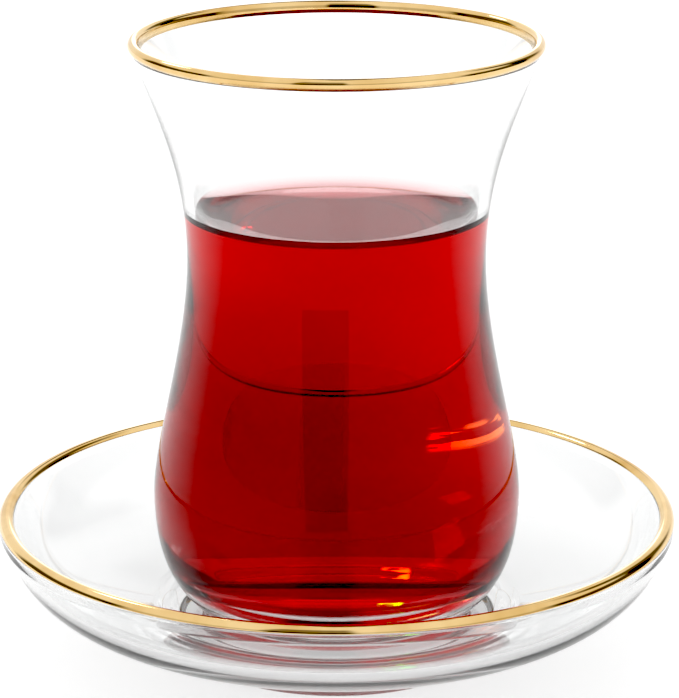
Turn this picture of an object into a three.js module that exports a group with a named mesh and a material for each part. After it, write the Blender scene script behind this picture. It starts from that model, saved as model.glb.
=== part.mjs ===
// A waisted tea glass of red tea, standing on its round glass saucer, both with gilt lips.
// Millimetres, +Z up. The origin is on the table, under the middle of the saucer's foot.

import * as THREE from 'three';

const sides = 48; // flats round every turned piece
const fitGap = 0.05; // clearance between pieces that touch
const giltSkin = 0.25; // thickness of the gilding on both lips

const saucer = {
  lipRadius: 52.9, // to the outside of the lip
  lipRound: 1.15, // half the lip's thickness, its edge is a half round
  lipHeight: 21.4, // middle of the lip's half round
  lipWrap: 20, // degrees that the lip's round runs on below its middle
  giltStart: 8, // degrees where the gilding starts on the outside
  giltEnd: 155, // and where it ends on the inside
  wallTop: 20.15, // where the upright edge turns into the bowl's underside
  footTopRadius: 26,
  footTopHeight: 2.8,
  footRadius: 24.6,
  footBevel: 0.6,
  footInside: 21,
  recessRadius: 19.2,
  recessHeight: 1.4,
  wellHeight: 5.35, // floor that the glass stands on
  wellRadius: 24,
  ledgeRadius: 28.6, // top of the step round the well
  ledgeHeight: 7.2,
};

const glass = {
  rimRadius: 31.5,
  rimBead: 0.8, // half the thickness of the rounded rim
  rimTurn: -45, // degrees where the bead leaves the outer wall
  rimWall: 30.98, // outside of the wall at the gilding's lower edge
  rimHeight: 96.1, // middle of the rim's bead
  giltDrop: 0.9, // how far the gilding runs down below the bead's middle
  flare: 0.367, // outward lean of the wall under the rim
  wallAtRim: 1.43,
  wallAtWaist: 1.65,
  wallAtBelly: 2.1,
  waistRadius: 23,
  waistHeight: 63.2,
  bellyRadius: 28.67,
  bellyHeight: 25.2,
  baseRadius: 18.9,
  baseRise: THREE.MathUtils.degToRad(33), // slope of the round heel where it meets the base
  base: 5.4, // underside, on the saucer's well
  floorHeight: 10.2, // inside bottom
  floorRadius: 21, // handle that keeps the inside bottom flat before it turns up
};

// How far each stretch of the wall keeps its direction before it bends
const pull = { rimDown: 10.5, waistUp: 13, waistDown: 13.7, bellyUp: 7.7, bellyDown: 13.4, heel: 5.8 };
const pullInside = { bellyDown: 13 };
const saucerPull = { wallIn: 4.35, wallDown: 11.75, footOut: 16.1, footUp: 5.4 };
const bowlPull = { ledgeOut: 12.4, ledgeUp: 3, lipIn: 3.1, lipDown: 10 };

const teaLevel = 69.7;

// Flats along each stretch of a profile
const steps = { heel: 7, bellyToWaist: 8, flare: 6, rim: 5, bowl: 7, lip: 5, bareLip: 2, well: 3 };

const point = (radius, height) => new THREE.Vector2(radius, height);

// Points of a smooth stretch between two ends, each end with a handle that sets its direction
function stretch(start, startHandle, endHandle, end, count) {
  return new THREE.CubicBezierCurve(start, startHandle, endHandle, end).getPoints(count);
}

// Points of a round edge, angles in degrees from straight outward, turning up and over
function roundEdge(centre, radius, from, to, count) {
  return Array.from({ length: count + 1 }, (_, i) => {
    const angle = THREE.MathUtils.degToRad(from + ((to - from) * i) / count);
    return point(centre.x + radius * Math.cos(angle), centre.y + radius * Math.sin(angle));
  });
}

// Leaves out points that repeat the one before, where two stretches join
function joined(...stretches) {
  return stretches.flat().filter((p, i, all) => i === 0 || p.distanceTo(all[i - 1]) > 1e-6);
}

// A solid of revolution about +Z from a profile of radius and height
function turned(name, profile, material) {
  const geometry = new THREE.LatheGeometry(profile, sides);
  geometry.rotateX(Math.PI / 2);
  const mesh = new THREE.Mesh(geometry, material);
  mesh.name = name;
  return mesh;
}

// The glass's rim, inset from its true surface: up the outside, over the bead and down the inside
const rimBandHeight = glass.rimHeight - glass.giltDrop;
const rimCentre = point(glass.rimRadius - glass.rimBead, glass.rimHeight);

function rimOutline(inset) {
  return joined(
    [point(glass.rimWall - inset, rimBandHeight)],
    roundEdge(rimCentre, glass.rimBead - inset, glass.rimTurn, 180, steps.rim),
    [point(glass.rimWall - glass.wallAtRim + inset, rimBandHeight)],
  );
}

// One side of the glass wall between the heel and the gilding, from the belly up to the rim
function wallAbove(belly, waist, rim) {
  return joined(
    stretch(
      belly,
      point(belly.x, belly.y + pull.bellyUp),
      point(waist.x, waist.y - pull.waistDown),
      waist,
      steps.bellyToWaist,
    ),
    stretch(
      waist,
      point(waist.x, waist.y + pull.waistUp),
      point(rim.x - glass.flare * pull.rimDown, rim.y - pull.rimDown),
      rim,
      steps.flare,
    ),
  );
}

// Outside of the glass: base edge, round heel, belly, waist and flare
function glassOutside() {
  const belly = point(glass.bellyRadius, glass.bellyHeight);
  const heel = stretch(
    point(glass.baseRadius, glass.base),
    point(
      glass.baseRadius + pull.heel * Math.cos(glass.baseRise),
      glass.base + pull.heel * Math.sin(glass.baseRise),
    ),
    point(belly.x, belly.y - pull.bellyDown),
    belly,
    steps.heel,
  );
  const waist = point(glass.waistRadius, glass.waistHeight);
  return joined(heel, wallAbove(belly, waist, point(glass.rimWall, rimBandHeight)));
}

// Inside of the glass, from the middle of its floor up to the rim
function glassInside() {
  const belly = point(glass.bellyRadius - glass.wallAtBelly, glass.bellyHeight);
  const bowl = stretch(
    point(0, glass.floorHeight),
    point(glass.floorRadius, glass.floorHeight),
    point(belly.x, belly.y - pullInside.bellyDown),
    belly,
    steps.heel,
  );
  const waist = point(glass.waistRadius - glass.wallAtWaist, glass.waistHeight);
  const rim = point(glass.rimWall - glass.wallAtRim, rimBandHeight);
  return joined(bowl, wallAbove(belly, waist, rim));
}

const clearGlass = new THREE.MeshStandardMaterial({
  color: 0xeef3f4,
  roughness: 0.05,
  metalness: 0,
  transparent: true,
  opacity: 0.35,
});
const saucerGlass = clearGlass.clone();
const redTea = new THREE.MeshStandardMaterial({ color: 0xb00808, roughness: 0.05, metalness: 0 });
const rimGilt = new THREE.MeshStandardMaterial({ color: 0xe6bd78, roughness: 0.2, metalness: 1 });
const saucerGilt = rimGilt.clone();

function makeGlass() {
  const underGilt = rimOutline(giltSkin + fitGap);
  return turned(
    'tea_glass',
    joined([point(0, glass.base)], glassOutside(), underGilt, glassInside().reverse()),
    clearGlass,
  );
}

// A gilt skin: its outer face out and back along its inner face, closed on itself
function giltRing(name, outline, material) {
  const outer = outline(0);
  return turned(name, joined(outer, outline(giltSkin).reverse(), [outer[0]]), material);
}

function makeRimGilt() {
  return giltRing('glass_gilt_rim', rimOutline, rimGilt);
}

// Tea fills the inside up to its level, with the wall's own outline
function makeTea() {
  const inside = glassInside();
  const wet = inside.filter((p) => p.y < teaLevel);
  const below = wet.at(-1);
  const above = inside[wet.length];
  const levelPoint = below.clone().lerp(above, (teaLevel - below.y) / (above.y - below.y));
  const side = wet.map((p) => point(Math.max(p.x - fitGap, 0), p.y + fitGap));
  const top = point(levelPoint.x - fitGap, teaLevel);
  return turned('tea', joined(side, [top, point(0, teaLevel)]), redTea);
}

const saucerLip = point(saucer.lipRadius - saucer.lipRound, saucer.lipHeight);

// The gilt part of the saucer's lip, inset from its true surface
function lipGiltOutline(inset) {
  return roundEdge(saucerLip, saucer.lipRound - inset, saucer.giltStart, saucer.giltEnd, steps.lip);
}

// The rest of the lip's round: bare glass below the gilding, outside and inside
function bareLip(from, to) {
  return roundEdge(saucerLip, saucer.lipRound, from, to, steps.bareLip);
}

const bareOutside = bareLip(-saucer.lipWrap, saucer.giltStart);
const bareInside = bareLip(saucer.giltEnd, 180 + saucer.lipWrap);

// Underside of the saucer: recess, foot ring, shallow bowl and upright edge
function saucerUnder() {
  const wallStart = point(saucer.lipRadius - fitGap, saucer.wallTop);
  const bowl = stretch(
    point(saucer.footTopRadius, saucer.footTopHeight),
    point(saucer.footTopRadius + saucerPull.footOut, saucer.footTopHeight + saucerPull.footUp),
    point(wallStart.x - saucerPull.wallIn, wallStart.y - saucerPull.wallDown),
    wallStart,
    steps.bowl,
  );
  return joined(
    [
      point(0, saucer.recessHeight),
      point(saucer.recessRadius, saucer.recessHeight),
      point(saucer.footInside, saucer.footBevel),
      point(saucer.footInside + saucer.footBevel, 0),
      point(saucer.footRadius - saucer.footBevel, 0),
      point(saucer.footRadius, saucer.footBevel),
    ],
    bowl,
    bareOutside,
  );
}

// Upper face of the saucer: flat well, soft step, bowl and lip
function saucerUpper() {
  const ledge = point(saucer.ledgeRadius, saucer.ledgeHeight);
  const lip = bareInside.at(-1);
  const rise = (saucer.ledgeRadius - saucer.wellRadius) / 2;
  const step = stretch(
    point(saucer.wellRadius, saucer.wellHeight),
    point(saucer.wellRadius + rise, saucer.wellHeight),
    point(ledge.x - rise, ledge.y),
    ledge,
    steps.well,
  );
  const bowl = stretch(
    ledge,
    point(ledge.x + bowlPull.ledgeOut, ledge.y + bowlPull.ledgeUp),
    point(lip.x - bowlPull.lipIn, lip.y - bowlPull.lipDown),
    lip,
    steps.bowl,
  );
  return joined([point(0, saucer.wellHeight)], step, bowl);
}

function makeSaucer() {
  const underGilt = lipGiltOutline(giltSkin + fitGap);
  const outline = joined(saucerUnder(), underGilt, bareInside, saucerUpper().reverse());
  return turned('saucer', outline, saucerGlass);
}

function makeSaucerGilt() {
  return giltRing('saucer_gilt_rim', lipGiltOutline, saucerGilt);
}

const teaService = new THREE.Group();
teaService.add(makeSaucer(), makeSaucerGilt(), makeGlass(), makeRimGilt(), makeTea());

export default teaService;
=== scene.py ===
import math

import bpy
import numpy as np
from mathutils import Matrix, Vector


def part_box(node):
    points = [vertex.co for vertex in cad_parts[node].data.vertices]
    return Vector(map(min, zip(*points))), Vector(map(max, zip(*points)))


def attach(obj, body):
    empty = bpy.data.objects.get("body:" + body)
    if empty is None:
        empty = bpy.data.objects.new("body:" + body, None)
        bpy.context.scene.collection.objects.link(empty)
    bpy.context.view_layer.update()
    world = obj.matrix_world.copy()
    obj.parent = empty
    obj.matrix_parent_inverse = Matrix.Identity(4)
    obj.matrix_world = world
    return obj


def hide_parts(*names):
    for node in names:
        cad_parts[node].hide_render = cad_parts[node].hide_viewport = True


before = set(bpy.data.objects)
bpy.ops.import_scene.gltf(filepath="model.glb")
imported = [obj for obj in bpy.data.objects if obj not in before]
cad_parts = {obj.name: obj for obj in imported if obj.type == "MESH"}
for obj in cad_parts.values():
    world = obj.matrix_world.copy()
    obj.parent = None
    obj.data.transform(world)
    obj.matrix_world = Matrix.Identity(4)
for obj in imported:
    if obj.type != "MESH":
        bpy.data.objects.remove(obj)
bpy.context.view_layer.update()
print("frame loaded:", ", ".join(sorted(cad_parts)))

mm = 0.001  # profiles below are in millimetres, meshes in metres
studio = bpy.context.scene
white = (1.0, 1.0, 1.0, 1.0)
black = (0.0, 0.0, 0.0, 1.0)


# Shader maths


class Wire:
    # wraps an output socket, so that sums of sockets add their own Math nodes
    def __init__(self, socket):
        self.socket = socket

    @staticmethod
    def node(tree, kind, settings=None, inputs=None, output=0):
        # any other node: settings first, then a plain value or a wire for each input
        made = tree.nodes.new(kind)
        for name, value in (settings or {}).items():
            if name == "stops":
                setStops(made.color_ramp, value)
            else:
                setattr(made, name, value)
        for name, value in (inputs or {}).items():
            if isinstance(value, Wire):
                tree.links.new(value.socket, made.inputs[name])
            else:
                made.inputs[name].default_value = value
        return Wire(made.outputs[output]) if made.outputs else made

    def maths(self, operation, first, second):
        settings = {"operation": operation}
        return Wire.node(self.socket.id_data, "ShaderNodeMath", settings, {0: first, 1: second})

    def __add__(self, other):
        return self.maths("ADD", self, other)

    def __radd__(self, other):
        return self.maths("ADD", other, self)

    def __sub__(self, other):
        return self.maths("SUBTRACT", self, other)

    def __rsub__(self, other):
        return self.maths("SUBTRACT", other, self)

    def __mul__(self, other):
        return self.maths("MULTIPLY", self, other)

    def __rmul__(self, other):
        return self.maths("MULTIPLY", other, self)


def setStops(ramp, stops):
    while len(ramp.elements) < len(stops):
        ramp.elements.new(1.0)
    for element, (place, colour) in zip(ramp.elements, stops):
        element.position = place
        element.color = colour


def emptyMaterial(name):
    material = bpy.data.materials.new(name)
    material.use_nodes = True
    material.node_tree.nodes.clear()
    return material, material.node_tree


def finishMaterial(tree, surface, volume=None):
    sockets = {"Surface": surface}
    if volume is not None:
        sockets["Volume"] = volume
    Wire.node(tree, "ShaderNodeOutputMaterial", None, sockets)


def objectPoint(tree):
    return Wire.node(tree, "ShaderNodeTexCoord", None, None, "Object")


def noise(tree, point, scale, detail):
    inputs = {"Vector": point, "Scale": scale, "Detail": detail}
    return Wire.node(tree, "ShaderNodeTexNoise", None, inputs)


def bump(tree, height, strength, distance):
    inputs = {"Height": height, "Strength": strength, "Distance": distance}
    return Wire.node(tree, "ShaderNodeBump", None, inputs)


def absorption(tree, colour, density):
    return Wire.node(tree, "ShaderNodeVolumeAbsorption", None, {"Color": colour, "Density": density})


def axes(tree, vector):
    split = Wire.node(tree, "ShaderNodeSeparateXYZ", None, {"Vector": vector})
    return [Wire(s) for s in split.socket.node.outputs]


def softStep(tree, value, place, soft):
    # 0 below the place, 1 above it, changing over soft on either side
    inputs = {"Value": value, "From Min": place - soft, "From Max": place + soft}
    return Wire.node(tree, "ShaderNodeMapRange", {"interpolation_type": "SMOOTHSTEP"}, inputs)


def softBand(tree, value, low, high, soft):
    # 1 between low and high, falling to 0 over soft on either side
    return softStep(tree, value, low, soft) * (1 - softStep(tree, value, high, soft))


# Turned shapes

samePoint = 1e-6  # profile points nearer than this are one


def moved(point, out, up):
    return (point[0] + out, point[1] + up)


def stretch(start, startPull, endPull, end, count):
    # cubic curve: the four points weighted by (1-t)^3, 3t(1-t)^2, 3t^2(1-t) and t^3
    t = np.linspace(0.0, 1.0, count)[:, None]
    points = [np.array(p, float) for p in (start, startPull, endPull, end)]
    weights = [(1 - t) ** 3, 3 * t * (1 - t) ** 2, 3 * t**2 * (1 - t), t**3]
    return sum(w * p for w, p in zip(weights, points))


def arc(centre, radius, fromDegrees, toDegrees, count):
    # circle: centre plus radius times (cos a, sin a), a running between the two angles
    a = np.radians(np.linspace(fromDegrees, toDegrees, count))
    return np.column_stack([centre[0] + radius * np.cos(a), centre[1] + radius * np.sin(a)])


def join(*stretches):
    # one profile from several, without the points that repeat
    profile = np.vstack(stretches)
    step = np.linalg.norm(np.diff(profile, axis=0), axis=1)
    return profile[np.concatenate([[True], step > samePoint])]


def ringFaces(rows, sides, closed):
    # quads between neighbouring rows, wrapped round the axis, and round the section if closed
    row = np.arange(rows if closed else rows - 1)[:, None]
    side = np.arange(sides)[None, :]
    beside = (side + 1) % sides
    low, high = row * sides, (row + 1) % rows * sides
    corners = [low + side, low + beside, high + beside, high + side]
    return np.stack([np.broadcast_to(c, (len(row), sides)) for c in corners], axis=-1).reshape(-1, 4)


def turn(profile, sides, closed):
    # surface of revolution: (r cos a, r sin a, z) for each profile point (r, z) and each angle a
    a = np.linspace(0.0, 2 * math.pi, sides, endpoint=False)
    rings = profile if closed else profile[1:-1]
    radius, height = rings[:, :1], rings[:, 1:]
    grid = np.stack([radius * np.cos(a), radius * np.sin(a), height + 0 * a], axis=-1)
    points = grid.reshape(-1, 3)
    quads = ringFaces(len(rings), sides, closed)
    if closed:
        return points, quads, np.zeros((0, 3), int)
    first, last = len(points), len(points) + 1  # the two poles, on the axis
    poles = [[0, 0, profile[0, 1]], [0, 0, profile[-1, 1]]]
    here = np.arange(sides)
    there = (here + 1) % sides
    top = (len(rings) - 1) * sides
    startFan = np.column_stack([np.full(sides, first), there, here])
    endFan = np.column_stack([np.full(sides, last), top + here, top + there])
    return np.vstack([points, poles]), quads, np.vstack([startFan, endFan])


def turnedPiece(name, profile, sides, materials, closed=False, finish=None):
    # finish gives each stretch between two profile points the number of its material
    points, quads, fans = turn(np.asarray(profile), sides, closed)
    mesh = bpy.data.meshes.new(name)
    loops = np.concatenate([quads.ravel(), fans.ravel()])
    starts = np.concatenate([np.arange(len(quads)) * 4, len(quads) * 4 + np.arange(len(fans)) * 3])
    mesh.vertices.add(len(points))
    mesh.vertices.foreach_set("co", (points * mm).astype(np.float32).ravel())
    mesh.loops.add(len(loops))
    mesh.loops.foreach_set("vertex_index", loops.astype(np.int32))
    mesh.polygons.add(len(starts))
    mesh.polygons.foreach_set("loop_start", starts.astype(np.int32))
    mesh.polygons.foreach_set("use_smooth", np.ones(len(starts), bool))
    if finish is not None:
        inOrder = np.concatenate([finish[1:-1], finish[:1], finish[-1:]])  # rings, then the two fans
        mesh.polygons.foreach_set("material_index", np.repeat(inOrder, sides).astype(np.int32))
    mesh.update(calc_edges=True)
    for material in materials:
        mesh.materials.append(material)
    piece = bpy.data.objects.new(name, mesh)
    studio.collection.objects.link(piece)
    print(name, len(points), "points")
    return piece


def stand(piece, node):
    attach(piece, "root")
    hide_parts(node)


def nodeBox(node):
    low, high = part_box(node)
    return np.array(low) / mm, np.array(high) / mm


# Finishes

clearGlassLook = {
    "colour": (0.985, 0.99, 0.99, 1.0),
    "ior": 1.5,
    "wave": (55.0, 2.0),  # scale and detail
    "waveHeight": 0.00002,
    "smear": (140.0, 4.0),
    "smearDepth": 0.02,
    "frosted": (-1.0, 2.2, 0.3),  # heights between which a foot is dulled, and how softly
}


def clearGlass(name, waveStrength, mirror=1.0, grey=0.0, frost=0.0):
    # fire-polished glass, very slightly wavy, with faint smears in its gloss;
    # grey darkens it with depth, frost dulls its underside
    material, tree = emptyMaterial(name)
    point = objectPoint(tree)
    wave = noise(tree, point, *clearGlassLook["wave"])
    rough = noise(tree, point, *clearGlassLook["smear"]) * clearGlassLook["smearDepth"]
    if frost:
        low, high, soft = (f * mm for f in clearGlassLook["frosted"])
        rough = rough + softBand(tree, axes(tree, point)[2], low, high, soft) * frost
    shell = Wire.node(
        tree,
        "ShaderNodeBsdfPrincipled",
        None,
        {
            "Base Color": clearGlassLook["colour"],
            "Roughness": rough,
            "IOR": clearGlassLook["ior"],
            "Specular Tint": (mirror, mirror, mirror, 1.0),
            "Transmission Weight": 1.0,
            "Normal": bump(tree, wave, waveStrength, clearGlassLook["waveHeight"]),
        },
    )
    finishMaterial(tree, shell, absorption(tree, black, grey) if grey else None)
    return material


giltLook = {
    "stops": [(0.3, (0.74, 0.48, 0.20, 1.0)), (0.62, (0.92, 0.68, 0.36, 1.0))],  # deep to warm gold
    "drift": (90.0, 3.0),  # scale and detail
    "ripple": (700.0, 2.0),
    "rippleStrength": 0.12,
    "rippleHeight": 0.00003,
    "roughLow": 0.03,
    "roughSpread": 0.08,
}


def gilding(name):
    # bright gold fired on glass: colour and gloss drift a little, with fine brush ripples
    material, tree = emptyMaterial(name)
    point = objectPoint(tree)
    drift = noise(tree, point, *giltLook["drift"])
    ripple = noise(tree, point, *giltLook["ripple"])
    metal = Wire.node(
        tree,
        "ShaderNodeBsdfPrincipled",
        None,
        {
            "Base Color": Wire.node(tree, "ShaderNodeValToRGB", {"stops": giltLook["stops"]}, {"Fac": drift}),
            "Metallic": 1.0,
            "Roughness": giltLook["roughLow"] + drift * giltLook["roughSpread"],
            "Normal": bump(tree, ripple, giltLook["rippleStrength"], giltLook["rippleHeight"]),
        },
    )
    finishMaterial(tree, metal)
    return material


teaLook = {
    "ior": 1.333,
    "passes": (0.905, 0.05, 0.075, 1.0),
    "strength": 170.0,
    "haze": (60.0, 2.0),  # scale and detail
    "hazeDepth": 0.01,
}


def redTea(name):
    # clear red tea: absorbs green and blue within a few millimetres, red slowly;
    # it mirrors only at a low angle, as its sides lie in the glass
    material, tree = emptyMaterial(name)
    haze = noise(tree, objectPoint(tree), *teaLook["haze"])
    liquid = Wire.node(
        tree,
        "ShaderNodeBsdfPrincipled",
        None,
        {
            "Base Color": white,
            "Roughness": haze * teaLook["hazeDepth"],
            "IOR": teaLook["ior"],
            "Specular Tint": black,
            "Transmission Weight": 1.0,
        },
    )
    finishMaterial(tree, liquid, absorption(tree, teaLook["passes"], teaLook["strength"]))
    return material


# The glass

rimLow, rimHigh = nodeBox("glass_gilt_rim")

glass = {
    "rimRadius": rimHigh[0],
    "rimTop": rimHigh[2],
    "rimBead": 0.8,  # half the rounded rim's thickness
    "rimTurn": -45,  # degrees where the bead leaves the outer wall
    "giltEdge": rimLow[2],
    "rimWall": 30.98,  # outside of the wall at the gilding's edge
    "flare": 0.367,  # outward lean under the rim
    "wallAtRim": 1.43,
    "wallAtWaist": 1.65,
    "wallAtBelly": 2.1,
    "waist": (23.0, 63.2),
    "belly": (28.67, 25.2),
    "base": nodeBox("tea_glass")[0][2],
    "baseRadius": 18.9,
    "baseRise": math.radians(33),  # slope of the heel where it meets the base
    "baseRound": 0.7,
    "baseCorner": 0.6,  # how far the base's edge keeps to its corner
    "floor": 10.2,
    "floorReach": 21.0,  # keeps the inside bottom flat before it turns up
    "waves": 0.25,
    "sides": 240,
}
# how far each stretch of the wall keeps its direction before it bends
pull = {"rimDown": 10.5, "waistUp": 13.0, "waistDown": 13.7, "bellyUp": 7.7, "bellyDown": 13.4, "heel": 5.8}
pullInside = {"bellyDown": 13.0}
glassRows = {"corner": 8, "heel": 60, "wall": 60, "flare": 50, "bead": 28, "bowl": 70}
rimCentre = (glass["rimRadius"] - glass["rimBead"], glass["rimTop"] - glass["rimBead"])

tea = {
    "dip": 0.5,  # the middle of its surface is this far below the frame's flat top
    "climb": 1.78,  # and its edge this far above its middle
    "climbReach": 1.34,
    "intoWall": 0.04,
    "floorBand": 4.0,  # height over the glass's floor in which it also reaches down
    "edgeRow": 0.01,  # row just under the edge
    "nearWall": (0.0, 0.004, 0.012),  # first rows of the surface, away from the wall
    "fineRows": (0.03, 8.0, 70),
    "wideRows": (8.6, 24),
    "sides": 240,
}
tea["level"] = nodeBox("tea")[1][2] - tea["dip"]
tea["edge"] = tea["level"] + tea["climb"]


def wallUp(belly, waist, rim):
    # belly to waist to the gilding's edge, upright at the belly and the waist
    bellyPull = moved(belly, 0.0, pull["bellyUp"])
    lower = stretch(belly, bellyPull, moved(waist, 0.0, -pull["waistDown"]), waist, glassRows["wall"])
    rimPull = moved(rim, -glass["flare"] * pull["rimDown"], -pull["rimDown"])
    upper = stretch(waist, moved(waist, 0.0, pull["waistUp"]), rimPull, rim, glassRows["flare"])
    return join(lower, upper)


def glassOutside():
    # rounded base edge, heel up to the belly, then the wall
    belly = glass["belly"]
    rise = np.array([math.cos(glass["baseRise"]), math.sin(glass["baseRise"])])
    baseEdge = np.array([glass["baseRadius"], glass["base"]])
    flat = baseEdge - np.array([glass["baseRound"], 0.0])
    up = baseEdge + glass["baseRound"] * rise
    keep = glass["baseCorner"]
    flatPull, upPull = (p * (1 - keep) + baseEdge * keep for p in (flat, up))
    corner = stretch(flat, flatPull, upPull, up, glassRows["corner"])
    heelPull = baseEdge + pull["heel"] * rise
    heel = stretch(up, heelPull, moved(belly, 0.0, -pull["bellyDown"]), belly, glassRows["heel"])
    return join(corner, heel, wallUp(belly, glass["waist"], (glass["rimWall"], glass["giltEdge"])))


def glassInside():
    # flat floor turning up to the belly, then the wall, with rows just where the tea's edge meets it
    floor = (0.0, glass["floor"])
    belly = moved(glass["belly"], -glass["wallAtBelly"], 0.0)
    floorPull = moved(floor, glass["floorReach"], 0.0)
    bowl = stretch(floor, floorPull, moved(belly, 0.0, -pullInside["bellyDown"]), belly, glassRows["bowl"])
    waist = moved(glass["waist"], -glass["wallAtWaist"], 0.0)
    whole = join(bowl, wallUp(belly, waist, (glass["rimWall"] - glass["wallAtRim"], glass["giltEdge"])))
    heights = tea["edge"] - np.array([tea["edgeRow"], 0.0])
    rows = np.column_stack([np.interp(heights, whole[:, 1], whole[:, 0]), heights])
    return np.insert(whole, np.searchsorted(whole[:, 1], tea["edge"]), rows, axis=0)


def rimOutline(grow):
    # up the outer wall, over the bead and down the inside, moved out by grow
    bead = arc(rimCentre, glass["rimBead"] + grow, glass["rimTurn"], 180, glassRows["bead"])
    outer = [[glass["rimWall"] + grow, glass["giltEdge"]]]
    inner = [[glass["rimWall"] - glass["wallAtRim"] - grow, glass["giltEdge"]]]
    return join(outer, bead, inner)


glassProfile = join([[0.0, glass["base"]]], glassOutside(), rimOutline(0.0), glassInside()[::-1])
innerRows = np.arange(len(glassProfile)) >= np.argmax(glassProfile[:, 1])
wetRows = (innerRows & (glassProfile[:, 1] < tea["edge"]))[1:]  # no mirror where tea wets the wall
glassFinish = [clearGlass("clearGlass", glass["waves"]), clearGlass("wetGlass", glass["waves"], mirror=0.0)]
glassWall = turnedPiece("tea_glass_wall", glassProfile, glass["sides"], glassFinish, finish=wetRows)
stand(glassWall, "tea_glass")

gilt = {"proud": 0.02, "sunk": 0.06}  # of the lip's own surface
giltProfile = join(rimOutline(gilt["proud"]), rimOutline(-gilt["sunk"])[::-1])
rimGilt = turnedPiece("glass_rim_gilding", giltProfile, glass["sides"], [gilding("rimGilding")], closed=True)
stand(rimGilt, "glass_gilt_rim")


# The tea


def teaProfile():
    # the glass's inside, moved into the wall, then the surface, which climbs the wall:
    # level + climb * exp(-distance to the wall / reach)
    inside = glassInside()
    wet = inside[inside[:, 1] < tea["edge"]]
    wall = np.interp(tea["edge"], inside[:, 1], inside[:, 0])
    side = wet + np.array([tea["intoWall"], 0.0])
    side[:, 1] -= tea["intoWall"] * (wet[:, 1] < glass["floor"] + tea["floorBand"])
    side[0, 0] = 0.0
    start, count = tea["wideRows"]
    away = np.concatenate([tea["nearWall"], np.linspace(*tea["fineRows"]), np.linspace(start, wall, count)])
    top = np.column_stack([wall - away, tea["level"] + tea["climb"] * np.exp(-away / tea["climbReach"])])
    top[-1, 0] = 0.0
    return join(side, [[wall + tea["intoWall"], tea["edge"]]], top)


teaBody = turnedPiece("tea_body", teaProfile(), tea["sides"], [redTea("redTea")])
stand(teaBody, "tea")


# The saucer

lipHigh = nodeBox("saucer_gilt_rim")[1]

saucer = {
    "lipRadius": lipHigh[0],
    "lipTop": lipHigh[2],
    "lipRound": 1.15,  # half the lip's thickness
    "lipWrap": 20.0,  # degrees that the lip's round runs on below its middle
    "gilt": (8.0, 155.0),  # where the gilding starts on the outside and ends on the inside
    "wallTop": 20.15,
    "wallInset": 0.05,  # of the wall's top from the lip's outside
    "footTop": (26.0, 2.8),
    "footRadius": 24.6,
    "footRound": 0.6,
    "footInside": 21.0,
    "recess": (19.2, 1.4),
    "wellHeight": 5.35,
    "wellRadius": 24.0,
    "ledge": (28.6, 7.2),  # top of the step round the well
    "waves": 0.5,
    "grey": 18.0,
    "frost": 0.3,
    "sides": 320,
}
# handles, out and up from the end that each belongs to
saucerPull = {
    "recessOut": (1.0, 0.0),
    "footInsideUp": (0.0, 0.4),
    "footUp": (0.0, 1.2),
    "footTopBack": (-0.8, -0.27),
    "underOut": (16.1, 5.4),
    "wallDown": (-4.35, -11.75),
    "ledgeOut": (12.4, 3.0),
    "lipDown": (-3.1, -10.0),
}
saucerRows = {
    "hollow": 10,
    "tread": 8,
    "fillet": 12,
    "under": 60,
    "lip": 40,
    "gilt": 32,
    "step": 24,
    "bowl": 60,
}
lipCentre = (saucer["lipRadius"] - saucer["lipRound"], saucer["lipTop"] - saucer["lipRound"])


def lipOutline():
    return arc(lipCentre, saucer["lipRound"], -saucer["lipWrap"], 180 + saucer["lipWrap"], saucerRows["lip"])


def lipGiltOutline(grow):
    return arc(lipCentre, saucer["lipRound"] + grow, *saucer["gilt"], saucerRows["gilt"])


def pulled(start, startPull, endPull, end, count):
    # a stretch whose handles are named in saucerPull
    return stretch(start, moved(start, *saucerPull[startPull]), moved(end, *saucerPull[endPull]), end, count)


def saucerUnder():
    # recess, rounded foot ring, fillet and the bowl's underside up to the lip
    foot, soft = saucer["footRadius"], saucer["footRound"]
    recess, top = saucer["recess"], saucer["footTop"]
    inside = saucer["footInside"]
    hollow = pulled(recess, "recessOut", "footInsideUp", (inside, soft), saucerRows["hollow"])
    tread = join(
        arc((inside + soft, soft), soft, 180, 270, saucerRows["tread"]),
        arc((foot - soft, soft), soft, -90, 0, saucerRows["tread"]),
    )
    fillet = pulled((foot, soft), "footUp", "footTopBack", top, saucerRows["fillet"])
    wall = (saucer["lipRadius"] - saucer["wallInset"], saucer["wallTop"])
    bowl = pulled(top, "underOut", "wallDown", wall, saucerRows["under"])
    return join([[0.0, recess[1]]], hollow, tread, fillet, bowl)


def saucerUpper():
    # flat well, soft step and the bowl up to the lip
    well, ledge = (saucer["wellRadius"], saucer["wellHeight"]), saucer["ledge"]
    half = (ledge[0] - well[0]) / 2
    step = stretch(well, moved(well, half, 0.0), moved(ledge, -half, 0.0), ledge, saucerRows["step"])
    bowl = pulled(ledge, "ledgeOut", "lipDown", lipOutline()[-1], saucerRows["bowl"])
    return join([[0.0, saucer["wellHeight"]]], step, bowl)


saucerProfile = join(saucerUnder(), lipOutline(), saucerUpper()[::-1])
saucerGlass = clearGlass("saucerGlass", saucer["waves"], grey=saucer["grey"], frost=saucer["frost"])
dish = turnedPiece("saucer_dish", saucerProfile, saucer["sides"], [saucerGlass])
stand(dish, "saucer")

lipProfile = join(lipGiltOutline(gilt["proud"]), lipGiltOutline(-gilt["sunk"])[::-1])
lipGilt = turnedPiece("saucer_lip_gilding", lipProfile, saucer["sides"], [gilding("lipGilding")], closed=True)
stand(lipGilt, "saucer_gilt_rim")


# Floor, light and camera


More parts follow.
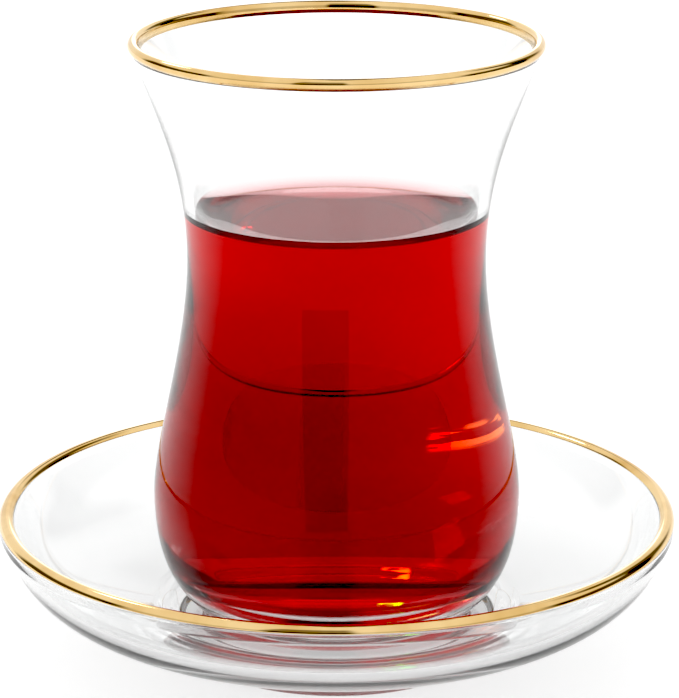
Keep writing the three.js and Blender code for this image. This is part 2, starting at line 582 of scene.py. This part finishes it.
def stagePiece(name, points, faces, material):
    mesh = bpy.data.meshes.new(name)
    mesh.from_pydata(points, [], faces)
    mesh.materials.append(material)
    piece = bpy.data.objects.new(name, mesh)
    studio.collection.objects.link(piece)
    return piece


floorPaper = {
    "half": 6.0,  # metres from the middle to each side
    "height": -0.0001,  # just under the saucer's foot
    "tint": (0.4, 0.4, 0.4, 1.0),
    "glow": 0.75,
    "grain": (3.0, 2.0),  # scale and detail
    "roughLow": 0.6,
    "roughSpread": 0.1,
}


def makeFloor():
    material, tree = emptyMaterial("paleFloor")
    grain = noise(tree, objectPoint(tree), *floorPaper["grain"])
    cover = Wire.node(
        tree,
        "ShaderNodeBsdfPrincipled",
        None,
        {
            "Base Color": floorPaper["tint"],
            "Roughness": floorPaper["roughLow"] + grain * floorPaper["roughSpread"],
            "Emission Color": white,
            "Emission Strength": floorPaper["glow"],
        },
    )
    finishMaterial(tree, cover)
    half, height = floorPaper["half"], floorPaper["height"]
    corners = [(x * half, y * half, height) for x, y in ((-1, -1), (1, -1), (1, 1), (-1, 1))]
    stagePiece("floor", corners, [(0, 1, 2, 3)], material)


# painted shade and painted glints on a sheet behind the glass, seen only through the tea: it stands in for
# shadow on the table behind and a dark reflection
paintedShadeSheet = {
    "gap": 0.8,  # millimetres behind the glass
    "heights": (5.6, 60.0),
    "half": 75.0,  # degrees either side of the back
    "columns": 91,
    "shade": 0.36,  # at the table, falling to none at its top
    "shadeLow": (9.0, 0.05),  # no shade below this, and the softness of its edge
    "shadeAcross": (-17.0, 17.0, 5.0),  # from, to and softness, as in the bands below
    "lean": 0.0155,  # darker to the left, for each millimetre
    "leanHeights": (17.0, 52.0, 6.0),
    "stripeAcross": (-2.75, 0.95, 0.06),
    "stripeHeights": (11.1, 50.0, 0.25),
    "stripeShade": 0.16,
    "streaks": (280.0, 280.0, 1100.0),  # stretch of the glints' pattern
    "streakDetail": 3.0,
    "streakCut": (0.5, 0.05),  # where the pattern starts to shine, and how softly
    # each painted glint: across, heights, softness, colour and power; little red, as the tea lets red through
    "paintedGlints": [
        ((7.2, 10.2), (22.6, 26.4), 0.35, (0.02, 0.75, 0.15, 1.0), 160.0),
        ((4.1, 6.5), (5.9, 7.5), 0.25, (0.03, 0.5, 0.005, 1.0), 300.0),
    ],
}


def paintedShadeMaterial():
    # painted shade, deeper downwards, with a darker upright stripe of painted shade, and streaky painted
    # glints of lamplight that shine from the side facing the glass only
    material, tree = emptyMaterial("paintedShadeAndGlints")
    point = objectPoint(tree)
    x, _, z = (a * (1 / mm) for a in axes(tree, point))
    top = paintedShadeSheet["heights"][1]
    # painted shadow, deeper towards the table and to the left
    shade = (top - z) * (paintedShadeSheet["shade"] / top) - x * paintedShadeSheet["lean"] * softBand(tree, z, *paintedShadeSheet["leanHeights"])
    shade = shade.maths("MAXIMUM", shade, 0.0) * softBand(tree, x, *paintedShadeSheet["shadeAcross"])
    shade = shade * softStep(tree, z, *paintedShadeSheet["shadeLow"])
    # painted dark stripe, an upright band of painted shade
    stripe = softBand(tree, x, *paintedShadeSheet["stripeAcross"]) * softBand(tree, z, *paintedShadeSheet["stripeHeights"])
    lets = (1 - shade) * (1 - stripe * paintedShadeSheet["stripeShade"])
    clear = Wire.node(tree, "ShaderNodeBsdfTransparent")
    dark = Wire.node(tree, "ShaderNodeEmission", None, {"Strength": 0.0})
    sheet = Wire.node(tree, "ShaderNodeMixShader", None, {0: 1 - lets, 1: clear, 2: dark})
    # streaky pattern of the painted glints
    drawn = Wire.node(tree, "ShaderNodeVectorMath", {"operation": "MULTIPLY"}, {0: point, 1: paintedShadeSheet["streaks"]})
    streak = softStep(tree, noise(tree, drawn, 1.0, paintedShadeSheet["streakDetail"]), *paintedShadeSheet["streakCut"])
    streak = streak * (1 - Wire.node(tree, "ShaderNodeNewGeometry", None, None, "Backfacing"))
    # each painted glint glows as an emission on the sheet, though the sheet is no lamp
    for across, heights, soft, colour, power in paintedShadeSheet["paintedGlints"]:
        spot = softBand(tree, x, *across, soft) * softBand(tree, z, *heights, soft) * streak
        shine = Wire.node(tree, "ShaderNodeEmission", None, {"Color": colour, "Strength": power})
        sheet = Wire.node(tree, "ShaderNodeMixShader", None, {0: spot, 1: sheet, 2: shine})
    finishMaterial(tree, sheet)
    return material


def makePaintedShadeSheet():
    # painted shade: a sheet behind the glass, seen only through it, which darkens the tea in front of it:
    # the wall's outline moved out by the gap and carried round the back
    outline = glassOutside()
    low, high = paintedShadeSheet["heights"]
    outline = outline[(outline[:, 1] > low) & (outline[:, 1] < high)]
    a = np.radians(np.linspace(90 - paintedShadeSheet["half"], 90 + paintedShadeSheet["half"], paintedShadeSheet["columns"]))
    radius = outline[:, :1] + paintedShadeSheet["gap"]
    points = np.stack([radius * np.cos(a), radius * np.sin(a), outline[:, 1:] + 0 * a], axis=-1)
    row = np.arange(len(outline) - 1)[:, None] * a.size
    first = (row + np.arange(a.size - 1)).ravel()
    quads = np.column_stack([first, first + a.size, first + a.size + 1, first + 1])
    sheet = stagePiece("painted_shade_sheet", (points.reshape(-1, 3) * mm).tolist(), quads.tolist(), paintedShadeMaterial())
    sheet.visible_camera = False
    sheet.visible_diffuse = False
    sheet.visible_glossy = False
    sheet.visible_shadow = False


tent = {
    "white": 1.0,
    # each patch: turn and lift in radians, the softness of each, and how much it takes away
    "frontPatches": {
        "camera": ((-0.42, 0.10), (-0.5, 0.95), (0.04, 0.08), 0.65),
        "room": ((-1.35, 1.35), (-0.5, 0.30), (0.15, 0.15), 0.35),
        "leftFlag": ((-2.25, -1.3), (-0.5, 0.45), (0.1, 0.1), 0.85),
        "rightFlag": ((1.3, 2.2), (-0.5, 0.45), (0.1, 0.1), 0.85),
        "rightCurtain": ((2.1, 2.6), (0.15, 0.85), (0.1, 0.1), 0.8),
    },
    "backPatches": {
        "gap": ((-0.07, 0.14), (0.45, 1.25), (0.03, 0.06), 0.9),
        "panel": ((-0.12, 0.12), (0.0, 0.2419), (0.01, 0.0006), -1.1),  # below zero: brighter
        "back": ((-0.15, 0.15), (0.2419, 0.4), (0.02, 0.02), -0.1),
    },
}


def makeTent():
    # white light tent, with dark flags at the camera's side and at both sides,
    # and a gap and brighter panels at the back
    world = bpy.data.worlds.new("lightTent")
    studio.world = world
    world.use_nodes = True
    tree = world.node_tree
    tree.nodes.clear()
    x, y, z = axes(tree, Wire.node(tree, "ShaderNodeTexCoord", None, None, "Generated"))
    lift = z.maths("ARCSINE", z, 0.0)
    fromFront = x.maths("ARCTAN2", x, 0.0 - y)
    fromBack = x.maths("ARCTAN2", x, y)
    glow = tent["white"]
    for side, patches in ((fromFront, "frontPatches"), (fromBack, "backPatches")):
        for around, heights, (aroundSoft, liftSoft), takes in tent[patches].values():
            patch = softBand(tree, side, *around, aroundSoft) * softBand(tree, lift, *heights, liftSoft)
            glow = glow - patch * takes
    glow = glow.maths("MAXIMUM", glow, 0.0)
    shine = Wire.node(tree, "ShaderNodeBackground", None, {"Color": white, "Strength": glow})
    Wire.node(tree, "ShaderNodeOutputWorld", None, {"Surface": shine})


keyLight = {"place": (-0.13, 0.20, 0.28), "aim": (0.0, 0.0, 0.05), "size": 0.04, "power": 0.04}


def makeKeyLight():
    lamp = bpy.data.lights.new("softBox", "AREA")
    lamp.size = keyLight["size"]
    lamp.energy = keyLight["power"]
    holder = bpy.data.objects.new("softBox", lamp)
    holder.location = keyLight["place"]
    aim = np.array(keyLight["aim"]) - np.array(keyLight["place"])
    tip = math.acos(-aim[2] / np.linalg.norm(aim))
    holder.rotation_euler = (tip, 0.0, math.atan2(-aim[0], aim[1]))
    holder.visible_camera = False
    studio.collection.objects.link(holder)


view = {
    "back": 467.28,  # millimetres in front of the axis
    "up": 188.0,
    "side": 0.45,
    "down": 16.69,  # degrees
    "focalPixels": 3144.8,
    "longSide": 698,  # pixels
    "sensor": 36.0,
    "nearest": 0.01,  # metres
}


def makeCamera():
    lens = bpy.data.cameras.new("camera")
    lens.sensor_width = view["sensor"]
    lens.lens = view["focalPixels"] / view["longSide"] * view["sensor"]
    lens.clip_start = view["nearest"]
    holder = bpy.data.objects.new("camera", lens)
    holder.location = (view["side"] * mm, -view["back"] * mm, view["up"] * mm)
    holder.rotation_euler = (math.radians(90 - view["down"]), 0.0, 0.0)
    studio.collection.objects.link(holder)
    studio.camera = holder


exposure = {"black": 0.08, "bounces": 32, "glossyBounces": 12, "brightest": 6.0}


def setExposure():
    # plain colours, with the faint haze in the darks cut off, and enough bounces for glass in glass
    studio.view_settings.view_transform = "Standard"
    studio.view_settings.use_curve_mapping = True
    studio.view_settings.curve_mapping.black_level = [exposure["black"]] * 3
    studio.view_settings.curve_mapping.update()
    studio.cycles.max_bounces = exposure["bounces"]
    studio.cycles.transmission_bounces = exposure["bounces"]
    studio.cycles.glossy_bounces = exposure["glossyBounces"]
    studio.cycles.sample_clamp_indirect = exposure["brightest"]


makeFloor()
makePaintedShadeSheet()
makeTent()
makeKeyLight()
makeCamera()
setExposure()
print("studio ready")
